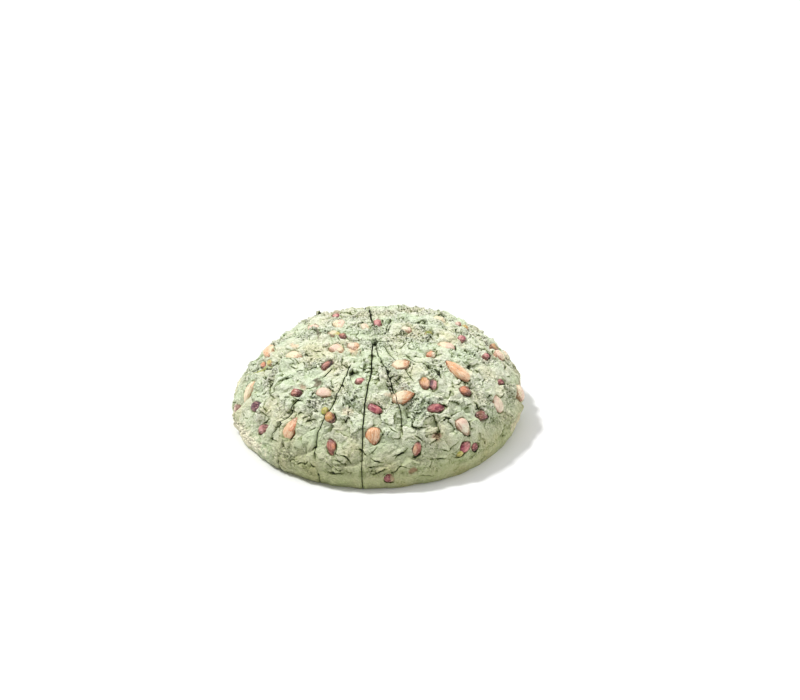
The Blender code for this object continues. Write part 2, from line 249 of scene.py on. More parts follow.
# Folds of the near side, each a curved line with painted shadow under a raised edge with painted light:
# azimuth, run, turn, length, width of the line, bow sideways and height of the edge.
FOLDS = (
    (-69.5, 87, 114, 17, 1.6, 1.5, 1.2), (-62, 86, 115, 9, 1.4, -1, 1.0), (-54, 86, 133, 11, 1.4, 1, 1.0),
    (-83, 84, 123, 13, 1.6, 1, 1.1), (-65, 61, 148, 9, 1.5, 1, 1.0), (-101, 56, 100, 24, 2.2, 3, 1.4),
    (-102, 73, 60, 12, 1.8, 1, 1.0), (-50, 76, 112, 16, 2.6, 1.5, 1.4), (50, 32, 80, 16, 2.6, -2, 1.8),
    (26, 17, 50, 12, 2.4, 1, 1.2), (85, 12, 134, 10, 2.0, 1.5, 1.0), (105, 61, 165, 12, 1.3, 1, 0.9),
    (147, 50, 150, 14, 1.7, 1, 1.0), (98, 83, 110, 9, 1.6, 1, 1.1), (112, 97, 150, 12, 1.4, 1.5, 1.1),
    (109, 107, 60, 13, 1.4, 1, 1.0), (88, 89, 175, 9, 1.4, 0.5, 0.9), (73, 66, 95, 12, 1.7, -1.5, 1.2),
    (77, 68, 135, 7, 1.4, 0.5, 0.9), (95, 114, 101, 14, 1.4, 1, 0.9), (90, 122, 163, 13, 1.3, 1, 0.8),
    (-40, 141, 97, 10, 1.5, 0.5, 1.0), (-2, 151, 105, 11, 1.3, 1, 0.9), (-1, 145, 61, 9, 1.4, -0.5, 0.9),
    (9, 138, 113, 13, 1.6, -1, 1.3), (8, 142, 128, 10, 1.4, 1, 1.1), (22, 134, 109, 8, 1.5, 0.5, 1.0),
    (24, 150, 90, 9, 1.4, 0.5, 1.0), (47, 117, 2, 10, 1.2, 0.5, 0.8), (18, 163, 80, 16, 1.6, 0.5, 0.9),
    (-15, 158, 95, 14, 1.4, 1, 0.8), (38.9, 75, 175, 18, 1.9, -1, 0.9), (-20, 86, 40, 10, 1.4, 1, 0.9),
    (-90, 126, 143, 22, 1.6, 1.5, 1.2), (-79, 107, 138, 20, 1.6, -1.5, 1.2), (125, 70, 60, 14, 1.6, 1, 1.0),
    (-58, 119, 95, 12, 1.3, 1, 0.8), (-72, 120, 75, 15, 1.3, -1, 0.9), (30, 118, 60, 10, 1.3, 1, 0.9),
    (-27, 127, 120, 9, 1.3, 1, 0.8), (62, 104, 100, 12, 1.4, 1, 1.0), (18, 121, 75, 12, 1.4, 1, 1.0),
)
STREWN_FOLDS = 230
FOLD_SEED = 23

# Calm sheets of crust on the near side: azimuth, run and radius.
SHEETS = (
    (-26, 127, 16), (-12, 130, 16), (-26, 142, 14), (8, 139, 14), (0, 139, 12), (26, 121, 15), (-94, 91, 16),
    (-84, 55, 14), (-64, 91, 14), (-56, 118, 15), (-78, 109, 12), (50, 42, 15), (38, 106, 13), (72, 110, 13),
    (96, 90, 12), (60, 62, 9), (-40, 112, 14), (6, 80, 12), (80, 43, 12), (74, 55, 12), (24, 94, 13),
    (-98, 115, 12), (66, 94, 12), (0, 58, 9), (88, 79, 10), (-42, 92, 10),
)

# Patches of other colour on the near side: azimuth, run, turn, length, width, strength and colour. The
# leaf-green ones in the centre hole, in a dish and under a fold are painted shade; the umber and clay ones
# darken two dishes and a fold; the others tint the crust.
STAINS_AND_SHADE = (
    (-37.7, 87, 18, 12, 9, 0.75, "umber"), (-45, 96, 79, 10, 6, 0.5, "clay"),
    (-31, 38, 49, 18, 10, 0.6, "peach"), (13, 155, 100, 10, 6, 0.7, "brown"),
    (24, 131, 57, 9, 7, 0.5, "clay"), (-85, 118, 140, 42, 2.5, 0.8, "lime"),
    (-101, 56, 105, 24, 3.5, 0.6, "umber"), (-7.5, 15, 10, 12, 9, 0.8, "leaf"),
    (-62, 162, 90, 80, 15, 0.9, "ivory"), (-86, 78, 120, 14, 7, 0.5, "peach"),
    (60, 88, 176, 10, 8, 0.4, "cream"), (-100, 150, 90, 40, 18, 0.5, "butter"),
    (103, 122, 90, 16, 12, 0.5, "blush"), (-14, 106, 70, 12, 8, 0.25, "peach"),
    (10, 88, 90, 16, 5, 0.35, "peach"), (82, 96, 70, 20, 10, 0.3, "blush"), (24, 16, 45, 12, 4, 0.5, "leaf"),
    (50, 32, 80, 14, 3, 0.3, "leaf"), (70, 158, 90, 40, 12, 0.5, "beige"),
    (86, 148, 90, 26, 12, 0.5, "blush"), (97, 120, 60, 18, 8, 0.4, "cream"),
)

# The crust's colours from painted highlight where it stands out to painted shade in its deepest hollows, its
# hues from patch to patch, and what its colour is multiplied by at the foot, partly its own yellower colour
# and partly painted shade. Then the colours of the cut faces, with painted shade along their rim under the
# crust, and of the nuts sliced through in them, and each kind of nut's pale and dark streaks, the pale ones
# partly painted highlights.
CRUST_SHADE_TONES = (
    (0.0, (237, 239, 221)), (0.26, (214, 220, 193)), (0.50, (186, 196, 158)), (0.68, (134, 143, 96)),
    (0.86, (70, 78, 42)), (1.0, (36, 42, 22)),
)
CRUST_HUES = ((0.36, (246, 255, 244)), (0.52, (255, 254, 250)), (0.68, (255, 246, 226)))
FOOT_TINT_AND_SHADE = (208, 207, 174)
KNIFE_GREEN = (176, 196, 150)
KNIFE_RIM_SHADE = (30, 34, 20)
SLICED_NUTS = ((0.0, (238, 218, 184)), (0.40, (226, 176, 128)), (0.68, (176, 178, 84)), (0.9, (150, 70, 66)))
SLICED_NUT_SIZE = 0.0135
ALMOND_STREAKS_AND_HIGHLIGHTS = ((250, 236, 208), (196, 140, 104))
PISTACHIO_STREAKS_AND_HIGHLIGHTS = ((234, 184, 168), (110, 62, 58))

# The stage. Each sun has the direction it stands in, its width in degrees and its strength.
FLOOR_REACH = 12.0
FLOOR_TONES = ((0.3, (238, 238, 238)), (0.7, (242, 242, 242)))
HORIZON = 1.05
SKY = 0.14
SUNS = (
    ("key", (-0.48, 0.225, 0.84), 8, 2.45),
    ("sky", (0.0, 0.3, 1.0), 80, 1.25),
    ("fill", (0.8, -0.05, 0.6), 60, 1.0),
)
CAMERA_PLACE = (0, -0.9098, 0.5242)
CAMERA_DOWN = 26.93  # how far it looks down and to the right, in degrees
CAMERA_RIGHT = 1.317
CAMERA_LENS = 51.8


def make_profile():
    """The crust's outline from top to foot: rows of run, ring radius, height and ring's shift towards +X."""
    widest = WIDEST_SHARE * HEIGHT
    angle = math.pi / 2 * (1 - np.arange(PROFILE_STEPS + 1) / PROFILE_STEPS)
    ring = RADIUS * np.cos(angle) ** CROWN_POWER
    ring[0] = 0
    dimple = DIMPLE_DEPTH * np.exp(-((ring / DIMPLE_RADIUS) ** 2))
    height = widest + (HEIGHT - widest) * np.sin(angle) ** RISE_POWER - dimple
    shift = LEAN * np.sin(2 * angle)
    below = np.arange(1, PROFILE_STEPS // 8 + 1) / (PROFILE_STEPS // 8)
    ring = np.append(ring, RADIUS * (1 - TUCK * below**2))
    height = np.append(height, widest * (1 - below))
    shift = np.append(shift, 0 * below)
    run = np.append(0, np.cumsum(np.hypot(np.diff(ring), np.diff(height))))
    return np.array((run, ring, height, shift))


PROFILE = make_profile()
FULL_RUN = PROFILE[0, -1]


def facing(azimuth):
    angle = np.radians(azimuth)
    return np.stack((np.sin(angle), -np.cos(angle), 0 * angle), axis=-1)


def smooth_crust(azimuth, run):
    """Points of the smooth form and its normals, for arrays of azimuths and runs."""
    azimuth, run = np.broadcast_arrays(np.asarray(azimuth, float), np.asarray(run, float))
    ring, height, shift = (np.interp(run, PROFILE[0], row) for row in PROFILE[1:])
    step = 0.0004
    low, high = np.clip(run - step, 0, FULL_RUN), np.clip(run + step, 0, FULL_RUN)
    out = np.interp(high, PROFILE[0], PROFILE[1]) - np.interp(low, PROFILE[0], PROFILE[1])
    down = np.interp(low, PROFILE[0], PROFILE[2]) - np.interp(high, PROFILE[0], PROFILE[2])
    steepness = np.hypot(out, down)
    direction = facing(azimuth)
    along = shift * direction[..., 0]
    reach = along + np.sqrt(np.maximum(ring**2 - shift**2 + along**2, 0))
    points = direction * reach[..., None]
    points[..., 2] = height
    normals = direction * (down / steepness)[..., None]
    normals[..., 2] = np.maximum(out / steepness, 0)
    return points, normals


def lumps(points, run):
    """How far the pillows and the swell stand out of the smooth form, as in the CAD."""
    heights = []
    for place in points:
        point = Vector(place)
        cell = point / PILLOW_SIZE
        wander = Vector([noise.noise(cell + Vector((step, 0, 0))) for step in STRAY_STEPS])
        near, far = noise.voronoi(cell + PILLOW_WANDER * wander)[0][:2]
        flank = min((far - near) / PILLOW_EDGE, 1.0)
        pillow = flank * flank * (3 - 2 * flank) - RELIEF_LIFT
        heights.append(PILLOW_HEIGHT * pillow + SWELL_HEIGHT * noise.noise(point / SWELL_SIZE))
    fade = 1 - FOOT_FADE * smoothstep(FOOT_RUN - 0.006, FOOT_RUN + 0.002, np.asarray(run))
    return np.array(heights) * fade


def smoothstep(low, high, value):
    share = np.clip((value - low) / (high - low), 0, 1)
    return share * share * (3 - 2 * share)


def mix_cells(cells, seed):
    """A well-mixed 32-bit number for each whole-numbered cell."""
    mask = np.uint64(0xFFFFFFFF)
    x, y, z = (cells[..., axis].astype(np.int64).astype(np.uint64) & mask for axis in range(3))
    mixed = (x * np.uint64(0x9E3779B1) ^ y * np.uint64(0x85EBCA77) ^ z * np.uint64(0xC2B2AE3D)) & mask
    mixed = (mixed + np.uint64(seed * 0x27D4EB2F & 0xFFFFFFFF)) & mask
    for shift, factor in ((15, 0x2C1B3C6D), (12, 0x297A2D39)):
        mixed = (mixed ^ (mixed >> np.uint64(shift))) * np.uint64(factor) & mask
    return mixed ^ (mixed >> np.uint64(15))


def parts_of(mixed):
    """Three numbers from 0 to 1 from each mixed number."""
    return np.stack([(mixed >> np.uint64(shift) & np.uint64(1023)) / 1023 for shift in (0, 10, 20)], axis=-1)


def ripple(points, size, seed):
    """Smooth noise from about -1 to 1, whose waves are about this size."""
    place = points / size
    floor = np.floor(place)
    within = place - floor
    fade = within**3 * (within * (within * 6 - 15) + 10)
    total = np.zeros(len(points))
    for corner in np.ndindex(2, 2, 2):
        slope = 2 * parts_of(mix_cells(floor + corner, seed)) - 1
        weight = np.prod(np.where(corner, fade, 1 - fade), axis=-1)
        total += weight * np.sum(slope * (within - corner), axis=-1)
    return np.clip(total * 1.6, -1, 1)


def specks(points, size, seed, share):
    """For a share of the cells of this size: the distance to the cell's spot, and a number from 0 to 1."""
    place = points / size
    floor = np.floor(place)
    nearest = np.full(len(points), 9.0)
    draw = np.zeros(len(points))
    for corner in np.ndindex(3, 3, 3):
        cell = floor + corner - 1
        mixed = mix_cells(cell, seed)
        spot = cell + 0.2 + 0.6 * parts_of(mixed)
        chance = parts_of(mix_cells(cell, seed + 1))
        distance = np.linalg.norm(place - spot, axis=-1)
        closer = (distance < nearest) & (chance[..., 0] < share)
        nearest = np.where(closer, distance, nearest)
        draw = np.where(closer, chance[..., 1], draw)
    return nearest * size, draw


def flakes(points, size, seed):
    """Tilted flakes: a point's height on its flake, how far the next rises above it, and how near it is."""
    place = points / size
    floor = np.floor(place)
    first, second = (np.full(len(points), 9.0) for _ in range(2))
    lean, other = (np.zeros(len(points)) for _ in range(2))
    for corner in np.ndindex(3, 3, 3):
        cell = floor + corner - 1
        offset = place - cell - 0.1 - 0.8 * parts_of(mix_cells(cell, seed))
        distance = np.linalg.norm(offset, axis=-1)
        height = 1.4 * np.sum((2 * parts_of(mix_cells(cell, seed + 1)) - 1) * offset, axis=-1)
        closest = distance < first
        closer = distance < second
        other = np.where(closest, lean, np.where(closer, height, other))
        second = np.where(closest, first, np.where(closer, distance, second))
        lean = np.where(closest, height, lean)
        first = np.where(closest, distance, first)
    return lean, other - lean, (second - first) * size


def ridge(values):
    """1 along the lines where smooth noise is zero, down to about 0 between them."""
    return 1 - np.clip(np.abs(values) / 0.45, 0, 1)


def calm(points):
    """How much each point lies in one of the calm sheets, from 0 to 1."""
    share = np.zeros(len(points))
    for azimuth, run, radius in SHEETS:
        distance = np.linalg.norm(points - smooth_crust(azimuth, run * MM)[0], axis=-1)
        share = np.maximum(share, np.exp(-((distance / (radius * MM)) ** 4)))
    return share


def roughness(points, run):
    """How rough the crust is, from 0 to 1, and how freely its flakes stand out."""
    rough = np.clip(0.48 + 1.8 * ripple(points, PATCH_SIZE, 1) - 0.75 * calm(points), 0.10, 1)
    low = smoothstep(0.120, 0.146, run)
    foot = smoothstep(FOOT_RUN + 0.001, FOOT_RUN + 0.005, run) * smoothstep(-0.100, -0.070, points[:, 0])
    rough *= (1 - 0.55 * low) * (1 - 0.8 * foot)
    return rough, (1 - 0.5 * low) * (1 - foot)


def pits(points, bent, rough):
    """How much each point lies in a pit, from 0 to 1."""
    distance, draw = specks(bent, PIT_SPACING, 13, PIT_SHARE)
    pitted = smoothstep(-0.10, 0.35, ripple(points, PIT_PATCH, 14)) * (0.2 + 0.8 * rough)
    radius = PIT_RADII[0] + (PIT_RADII[1] - PIT_RADII[0]) * draw
    return (1 - smoothstep(0.35, 1.0, distance / radius)) * pitted


def torn(points, run):
    """The crust's own relief in metres, its painted shading from painted highlight below 0 to painted shade
    at 1, and how rough it is, from 0 to 1.
    """
    rough, free = roughness(points, run)
    bend = np.stack([ripple(points, BEND_SIZE, seed) for seed in (2, 3, 4)], axis=-1)
    kink = np.stack([ripple(points, KINK_SIZE, seed) for seed in (51, 52, 53)], axis=-1)
    bent = points + BEND_REACH * bend + KINK_REACH * kink
    knobs = 0.5 - ridge(ripple(points + BEND_REACH * bend, KNOB_SIZE, 5))
    wrinkles = ridge(ripple(bent, WRINKLE_SIZE, 6)) - 0.5
    crumbs = 0.5 - ridge(ripple(points + CRUMB_BEND * bend, CRUMB_SIZE, 7))
    grit = ripple(points, GRIT_SIZE, 8)
    crinkle = 0.40 * knobs + 0.45 * wrinkles + 0.55 * crumbs + 0.55 * grit

    loose = smoothstep(-0.5, 0.1, ripple(points, LOOSE_SIZE, 62)) * free
    lean, step, inside = flakes(bent, FLAKE_SIZE, 61)
    chip_lean, chip_step, chip_inside = flakes(bent, CHIP_SIZE, 63)
    # Painted shadow under the lips of flakes and chips, and painted highlight on their crests.
    lip_shadow = loose * np.clip(1.4 * step, 0, 1) * np.exp(-inside / FLAKE_LIP_SHADOW)
    chip_lip_shadow = (0.35 + 0.65 * rough) * free * np.clip(chip_step, 0, 1) * np.exp(-chip_inside / CHIP_LIP_SHADOW)
    crest_highlight = loose * np.clip(-step, 0, 1) * np.exp(-inside / FLAKE_CREST_HIGHLIGHT)
    crest_highlight += 0.7 * rough * free * np.clip(-chip_step, 0, 1) * np.exp(-chip_inside / CHIP_CREST_HIGHLIGHT)

    pit = pits(points, bent, rough)
    crease = np.exp(-(((run - FOOT_RUN) / CREASE_WIDTH) ** 2))
    crease *= 0.25 + 1.3 * np.abs(ripple(points, 0.008, 16))
    left = smoothstep(-0.035, -0.075, points[:, 0])
    crumbly = np.exp(-(((run - CRUMBLY_RUN) / CRUMBLY_WIDTH) ** 2)) * left

    height = CRINKLE_HEIGHT * (0.10 + 0.90 * rough) * crinkle
    height += FLAKE_HEIGHT * loose * lean + CHIP_HEIGHT * (0.25 + 0.75 * rough) * free * chip_lean
    height -= PIT_DEPTH * pit + CREASE_DEPTH * crease - SAG_HEIGHT * ripple(points, SAG_SIZE, 17)
    height += CRUMBLY_HEIGHT * crumbly * (crumbs + wrinkles + 0.6 * grit)
    # Painted shade under lips, in pits and in the foot crease; painted highlight on crests, knobs and flakes
    # that stand up.
    painted_shading = 1.4 * lip_shadow + 1.0 * chip_lip_shadow - 0.5 * crest_highlight + 0.7 * pit + 0.4 * crease
    painted_shading -= 0.50 * rough * crinkle + 0.15 * chip_lean + crumbly * (0.5 * crumbs + 0.4 * grit)
    return height, painted_shading, rough


def girth(place, point, butt):
    """How wide a nut is along its length, from -1 to 1, as a share of its greatest width."""
    fullest = (butt - point) / (butt + point)
    most = (1 - fullest) ** point * (1 + fullest) ** butt
    inside = np.clip(place, -0.9999, 0.9999)
    return (1 - inside) ** point * (1 + inside) ** butt / most


def lay_patch(stain_and_shade, near, strength, colour):
    """Colours the points where this patch is stronger than what is there."""
    stronger = strength > stain_and_shade[near, 3]
    chosen = near[stronger]
    stain_and_shade[chosen, :3] = linear(*COLOURS[colour])
    stain_and_shade[chosen, 3] = strength[stronger]


class Spot:
    """A place on the crust, with a long axis and an axis across it."""

    def __init__(self, azimuth, run, turn, sink=0.0):
        smooth, normal = smooth_crust(azimuth, run)
        self.azimuth, self.run = azimuth, run
        self.up = Vector(normal).normalized()
        self.centre = Vector(smooth + normal * float(lumps([smooth], run)[0])) - self.up * sink
        sideways = Vector(facing(azimuth + 90))
        self.downhill = sideways.cross(self.up)
        angle = math.radians(turn)
        self.along = self.downhill * math.cos(angle) + sideways * math.sin(angle)
        self.across = self.up.cross(self.along)

    def near(self, points, reach):
        """The numbers of the points within reach, and how far along, across and above the spot they lie."""
        offset = points - np.array(self.centre)
        close = np.flatnonzero(np.linalg.norm(offset, axis=-1) < reach)
        return close, *(offset[close] @ np.array(axis) for axis in (self.along, self.across, self.up))


class Nut(Spot):
    """Where one nut lies in the crust, how big it is and what it looks like."""

    def __init__(self, kind, azimuth, run, turn, size, sink, veil=0.0, left="cream", right="cream"):
        super().__init__(azimuth, run, turn, sink)
        self.make = NUT_KINDS[kind]
        self.half_sizes = [measure / 2 for measure in size]
        self.sink, self.veil, self.left, self.right = sink, veil, left, right

    def clear_of(self, others, spacing):
        return all((self.centre - other.centre).length > spacing for other in others)

    def reach_past(self, normal):
        """How far the nut reaches from its centre along a direction."""
        sizes = zip(self.half_sizes, (self.along, self.across, self.up))
        return math.hypot(*(half * axis.dot(normal) for half, axis in sizes))

    def suits_knife(self):
        """Whether every knife cut either misses the nut or goes through its middle part, as in the CAD."""
        for cut in CUTS:
            normal = Vector(facing(cut[0] + 90))
            if self.centre.dot(Vector(facing(cut[0]))) < 0:
                continue
            reach = self.reach_past(normal)
            if MIDDLE_SHARE * reach < abs(self.centre.dot(normal)) < reach + KNIFE_CLEARANCE:
                return False
        return True

    def dig(self, points, height, painted_shading, stain_and_shade):
        """Sinks the crust under the nut, with painted shadow in a groove round it, strongest on the side away
        from the key light, and veils part of the nut.
        """
        shaded = Vector((0.8, 0, 0)) + 0.6 * self.downhill
        socket_points = points - np.array(SOCKET_SLIP * shaded)
        near, along, across, _ = self.near(socket_points, self.half_sizes[0] + 0.006)
        if not len(near):
            return
        place = along / self.half_sizes[0]
        waist = girth(place, *self.make["powers"]) / np.sqrt(1 - np.clip(place, -0.9999, 0.9999) ** 2)
        measure = np.hypot(place, across / self.half_sizes[1] / np.clip(waist, 0.25, 4))
        spots = points[near]
        past = (measure - 1) * self.half_sizes[1] - SOCKET + 0.0009 * ripple(spots, 0.0045, 21)
        dish = 1 - smoothstep(-0.0009, 0.0005, past)
        level = 1 - smoothstep(-0.0002, 0.0016, past)
        side = (spots - np.array(self.centre)) @ np.array(shaded) / self.half_sizes[1]
        groove_shadow = np.exp(-(((past + 0.0001) / 0.00055) ** 2)) * np.clip(0.6 + 0.5 * side, 0.1, 1)
        groove_shadow *= np.clip(0.85 + 1.3 * ripple(spots, 0.007, 22), 0, 1.2)
        skin = smoothstep(0.0, 0.25, ripple(spots, 0.0065, 23) + 0.8 * self.veil + 0.5 * measure**2 - 0.75)
        skin = skin * (self.veil > 0) * (measure < 1.25)
        over = self.half_sizes[2] * np.sqrt(np.clip(1 - measure**2, 0, 1)) - self.sink + 0.0005
        dished = height[near] * (1 - 0.6 * level) - 0.8 * self.sink * dish
        covered = np.maximum(over, dished) + 0.3 * height[near]
        height[near] = np.where(dish > 0, dished * (1 - skin) + covered * skin, dished)
        # Painted shadow in the groove and painted shade in the socket.
        painted_shading[near] = painted_shading[near] * (1 - 0.8 * level) + (1.1 * groove_shadow + 0.35 * dish) * (1 - skin)
        lay_patch(stain_and_shade, near, 0.35 * skin * dish, self.left)


def listed_nuts(kind, thickness, rows):
    return [Nut(kind, azimuth, run * MM, turn, (length * MM, width * MM, thickness), sink * MM, *look)
            for azimuth, run, turn, length, width, sink, *look in rows]


def make_almonds():
    """The almonds of the near side from their list, and the far side's as the CAD strews them."""
    found = listed_nuts("almond", ALMOND_THICKNESS, ALMONDS)
    as_in_cad = listed_nuts("almond", ALMOND_THICKNESS, [(*row[:5], ALMOND_SINK / MM) for row in ALMONDS])
    dice = random.Random(FAR_SEED)
    looks = random.Random(FAR_SEED + 1)
    while len(found) < len(ALMONDS) + FAR_ALMONDS:
        length = dice.uniform(*FAR_LENGTHS)
        place = dice.uniform(*FAR_AZIMUTHS), dice.uniform(*FAR_RUNS), dice.uniform(0, 180)
        size = length, length * ALMOND_WIDTH_SHARE, ALMOND_THICKNESS
        almond = Nut("almond", *place, size, ALMOND_SINK)
        slope = almond.up.dot(FRONT_VIEW)
        if almond.clear_of(as_in_cad, ALMOND_SPACING) and slope < FAR_SLOPE and almond.suits_knife():
            as_in_cad.append(almond)
            depth = looks.uniform(0.0014, 0.0026), max(0, looks.uniform(-0.3, 0.3))
            colours = [looks.choice(FAR_ALMOND_COLOURS) for _ in range(2)]
            found.append(Nut("almond", *place, size, *depth, *colours))
    return found


def make_pistachios(almonds):
    """The pistachios of the near side from their list, and the far side's strewn between the almonds."""
    found = listed_nuts("pistachio", PISTACHIO_THICKNESS, PISTACHIOS)
    dice = random.Random(PISTACHIO_SEED)
    while len(found) < len(PISTACHIOS) + FAR_PISTACHIOS:
        length = dice.uniform(*PISTACHIO_LENGTHS)
        size = length, length * PISTACHIO_WIDTH_SHARE, PISTACHIO_THICKNESS
        nut = Nut("pistachio", dice.uniform(*PISTACHIO_AZIMUTHS), dice.uniform(*PISTACHIO_RUNS),
                  dice.uniform(0, 180), size, dice.uniform(0.0016, 0.0026), max(0, dice.uniform(-0.3, 0.3)),
                  dice.choice(FAR_PISTACHIO_COLOURS), dice.choice(FAR_PISTACHIO_COLOURS))
        if nut.up.dot(FRONT_VIEW) < FAR_SLOPE and nut.clear_of(almonds + found, PISTACHIO_SPACING):
            found.append(nut)
    return found


def line_azimuth(index, run):
    """The azimuth at which a cut's line crosses the crust, for an array of runs."""
    turns, number = divmod(index, len(CUTS))
    azimuth, _, _, bends = CUTS[number]
    run = np.asarray(run, float)
    if bends:
        azimuth = np.interp(run, [bend[0] * MM for bend in bends], [bend[1] for bend in bends])
    else:
        places = np.stack((run.ravel(), 0 * run.ravel() + number, 0 * run.ravel()), axis=-1)
        swing = ripple(places / (WANDER_SIZE, 1, 1), 1, 31).reshape(run.shape)
        azimuth = azimuth + WANDER * swing * smoothstep(0.02, 0.05, run)
    return azimuth + 360 * turns


def cut_gap(index, run):
    """Half the width of a cut's gap, and how open it is, for an array of runs."""
    _, gap, stretches, _ = CUTS[index % len(CUTS)]
    run = np.asarray(run, float)
    open_share = np.zeros(run.shape)
    for start, end in stretches:
        opening = smoothstep(start * MM, start * MM + CUT_END, run)
        closing = 1 - smoothstep(end * MM - CUT_END, end * MM, run)
        open_share = np.maximum(open_share, opening * closing)
    narrowing = 1 - (1 - FOOT_GAP_SHARE) * smoothstep(0.105, 0.150, run)
    return gap * MM / 2 * open_share * narrowing, open_share


def patch(points, azimuth, run, turn, length, width):
    """The numbers of the points round a patch, and how far along and across it they lie, in half sizes."""
    near, along, across, _ = Spot(azimuth, run * MM, turn).near(points, length * MM)
    return near, along / (length * MM / 2), across / (width * MM / 2)


def sink_dish(points, height, painted_shading, *place, depth):
    near, along, across = patch(points, *place)
    sunk = 1 - smoothstep(0.35, 1.15, np.hypot(along, across) + 0.35 * ripple(points[near], 0.006, 41))
    height[near] -= depth * MM * sunk
    # Painted shade in the dish.
    painted_shading[near] += 0.22 * sunk


def add_fold(points, height, painted_shading, *place, bow, rise):
    """A curved line sunk in the crust under an edge that stands up, with painted shadow along the line and
    painted light on the edge.
    """
    near, along, across = patch(points, *place)
    half_width = place[-1] * MM / 2
    taper = np.clip(1 - along**2, 0, 1)
    away = across * half_width - bow * MM * (1 - along**2) + 0.0008 * ripple(points[near], 0.004, 43)
    line = np.exp(-((away / half_width) ** 2)) * np.sqrt(taper)
    raised = smoothstep(-0.0002, 0.0005, away) * np.exp(-np.clip(away, 0, None) / 0.0028) * taper
    height[near] += rise * MM * raised - 0.6 * rise * MM * line
    # Painted shadow along the line, painted light on the raised edge.
    painted_shading[near] += 1.20 * line * smoothstep(0.0009, 0.0001, away) - 0.25 * raised


def add_colour_patch(points, stain_and_shade, *place, strength, colour):
    near, along, across = patch(points, *place)
    grain = 0.45 * ripple(points[near], 0.006, 44) + 0.4 * ripple(points[near], 0.0025, 45)
    lay_patch(stain_and_shade, near, strength * (1 - smoothstep(0.5, 1.15, np.hypot(along, across) + grain)), colour)


def strewn_folds():
    """Folds all over the crust, mostly along the slope's level."""
    dice = random.Random(FOLD_SEED)
    return [(dice.uniform(0, 360), 158 * math.sqrt(dice.uniform(0.01, 1)), dice.uniform(45, 150),
             dice.uniform(5, 13), dice.uniform(0.9, 1.5), dice.uniform(-1.5, 1.5), dice.uniform(0.5, 1.2))
            for _ in range(STREWN_FOLDS)]


class Wedge:
    """The room between two neighbouring cuts, and the points of its crust."""

    def __init__(self, index):
        self.index = index
        self.start = CUTS[index][0]
        self.angle = (CUTS[(index + 1) % len(CUTS)][0] - self.start) % 360
        first, last = (line_azimuth(index + side, 0.0) for side in (0, 1))
        gaps = sum(float(cut_gap(index + side, 0.003)[0]) for side in (0, 1))
        self.tip = (TIP_WIDTH + gaps) / (2 * math.sin(math.radians(float(last - first) / 2)))

    def lines(self, run):
        """The azimuths of both edges of the wedge on the crust."""
        return line_azimuth(self.index, run), line_azimuth(self.index + 1, run)

    def planes(self, run):
        """A point, an outward normal and the open share for each knife face near a run."""
        for side, outward in ((0, -90), (1, 90)):
            azimuth = float(line_azimuth(self.index + side, run))
            half_gap, open_share = cut_gap(self.index + side, run)
            normal = Vector(facing(azimuth + outward))
            yield -normal * float(half_gap), normal, float(open_share)

    def crust(self, share, run, nuts, folds):
        """The finished crust's points, painted shading, roughness, and stains with painted shade, for arrays
        of shares and runs.
        """
        first, last = self.lines(run)
        smooth, normals = smooth_crust(first + (last - first) * share, run)
        middle = smooth + normals * lumps(smooth, run)[:, None]
        height, painted_shading, rough = torn(middle, run)
        stain_and_shade = np.zeros((len(run), 4))
        for *place, depth in DISHES:
            sink_dish(middle, height, painted_shading, *place, depth=depth)
        for *place, bow, rise in folds:
            add_fold(middle, height, painted_shading, *place, bow=bow, rise=rise)
        # Stains of the crust, and painted shade in the centre hole, a dish and under a fold.
        for *place, strength, colour in STAINS_AND_SHADE:
            add_colour_patch(middle, stain_and_shade, *place, strength=strength, colour=colour)
        for nut in nuts:
            nut.dig(middle, height, painted_shading, stain_and_shade)
        inset = np.zeros_like(middle)
        reach = np.hypot(smooth[:, 0], smooth[:, 1]) * np.radians(last - first)
        for side, line, inward, part in ((0, first, 90, 1 - share), (1, last, -90, share)):
            half_gap, open_share = cut_gap(self.index + side, run)
            fall = np.exp(-((reach * (1 - part) / KNIFE_DROP_REACH) ** 2)) * open_share
            height -= KNIFE_DROP * fall
            # Painted shade where the crust bends down into an open cut.
            painted_shading += 0.4 * fall
            inset += facing(line + inward) * (half_gap * part)[:, None]
        points = middle + normals * height[:, None] + inset
        points[:, 2] = np.where(run > FULL_RUN - 1e-6, 0, np.maximum(points[:, 2], 0.0002))
        return points, painted_shading, rough, stain_and_shade


def zip_rows(upper, lower):
    """Triangles between two rows of point numbers, which may differ in length."""
    faces = []
    i, j = 0, 0
    upper_steps, lower_steps = len(upper) - 1, len(lower) - 1
    while i < upper_steps or j < lower_steps:
        if j == lower_steps or (i < upper_steps and (i + 1) * lower_steps < (j + 1) * upper_steps):
            faces.append((upper[i], lower[j], upper[i + 1]))
            i += 1
        else:
            faces.append((upper[i], lower[j], lower[j + 1]))
            j += 1
    return faces


def below_rim(line):
    """Points of the knife face a little below the crust's edge."""
    reach = np.hypot(line[:, 0], line[:, 1])
    slope = np.gradient(line[:, 2], np.maximum.accumulate(reach) + np.arange(len(reach)) * 1e-7)
    inward = np.clip(reach - RIM_DEPTH * np.clip(-slope, 0, 1), reach[0], None) / reach
    points = line * np.stack((inward, inward, np.ones_like(inward)), axis=-1)
    points[:, 2] = np.clip(points[:, 2] - RIM_DEPTH, 0, None)
    points[-1, 2] = 0
    return [tuple(point) for point in points]


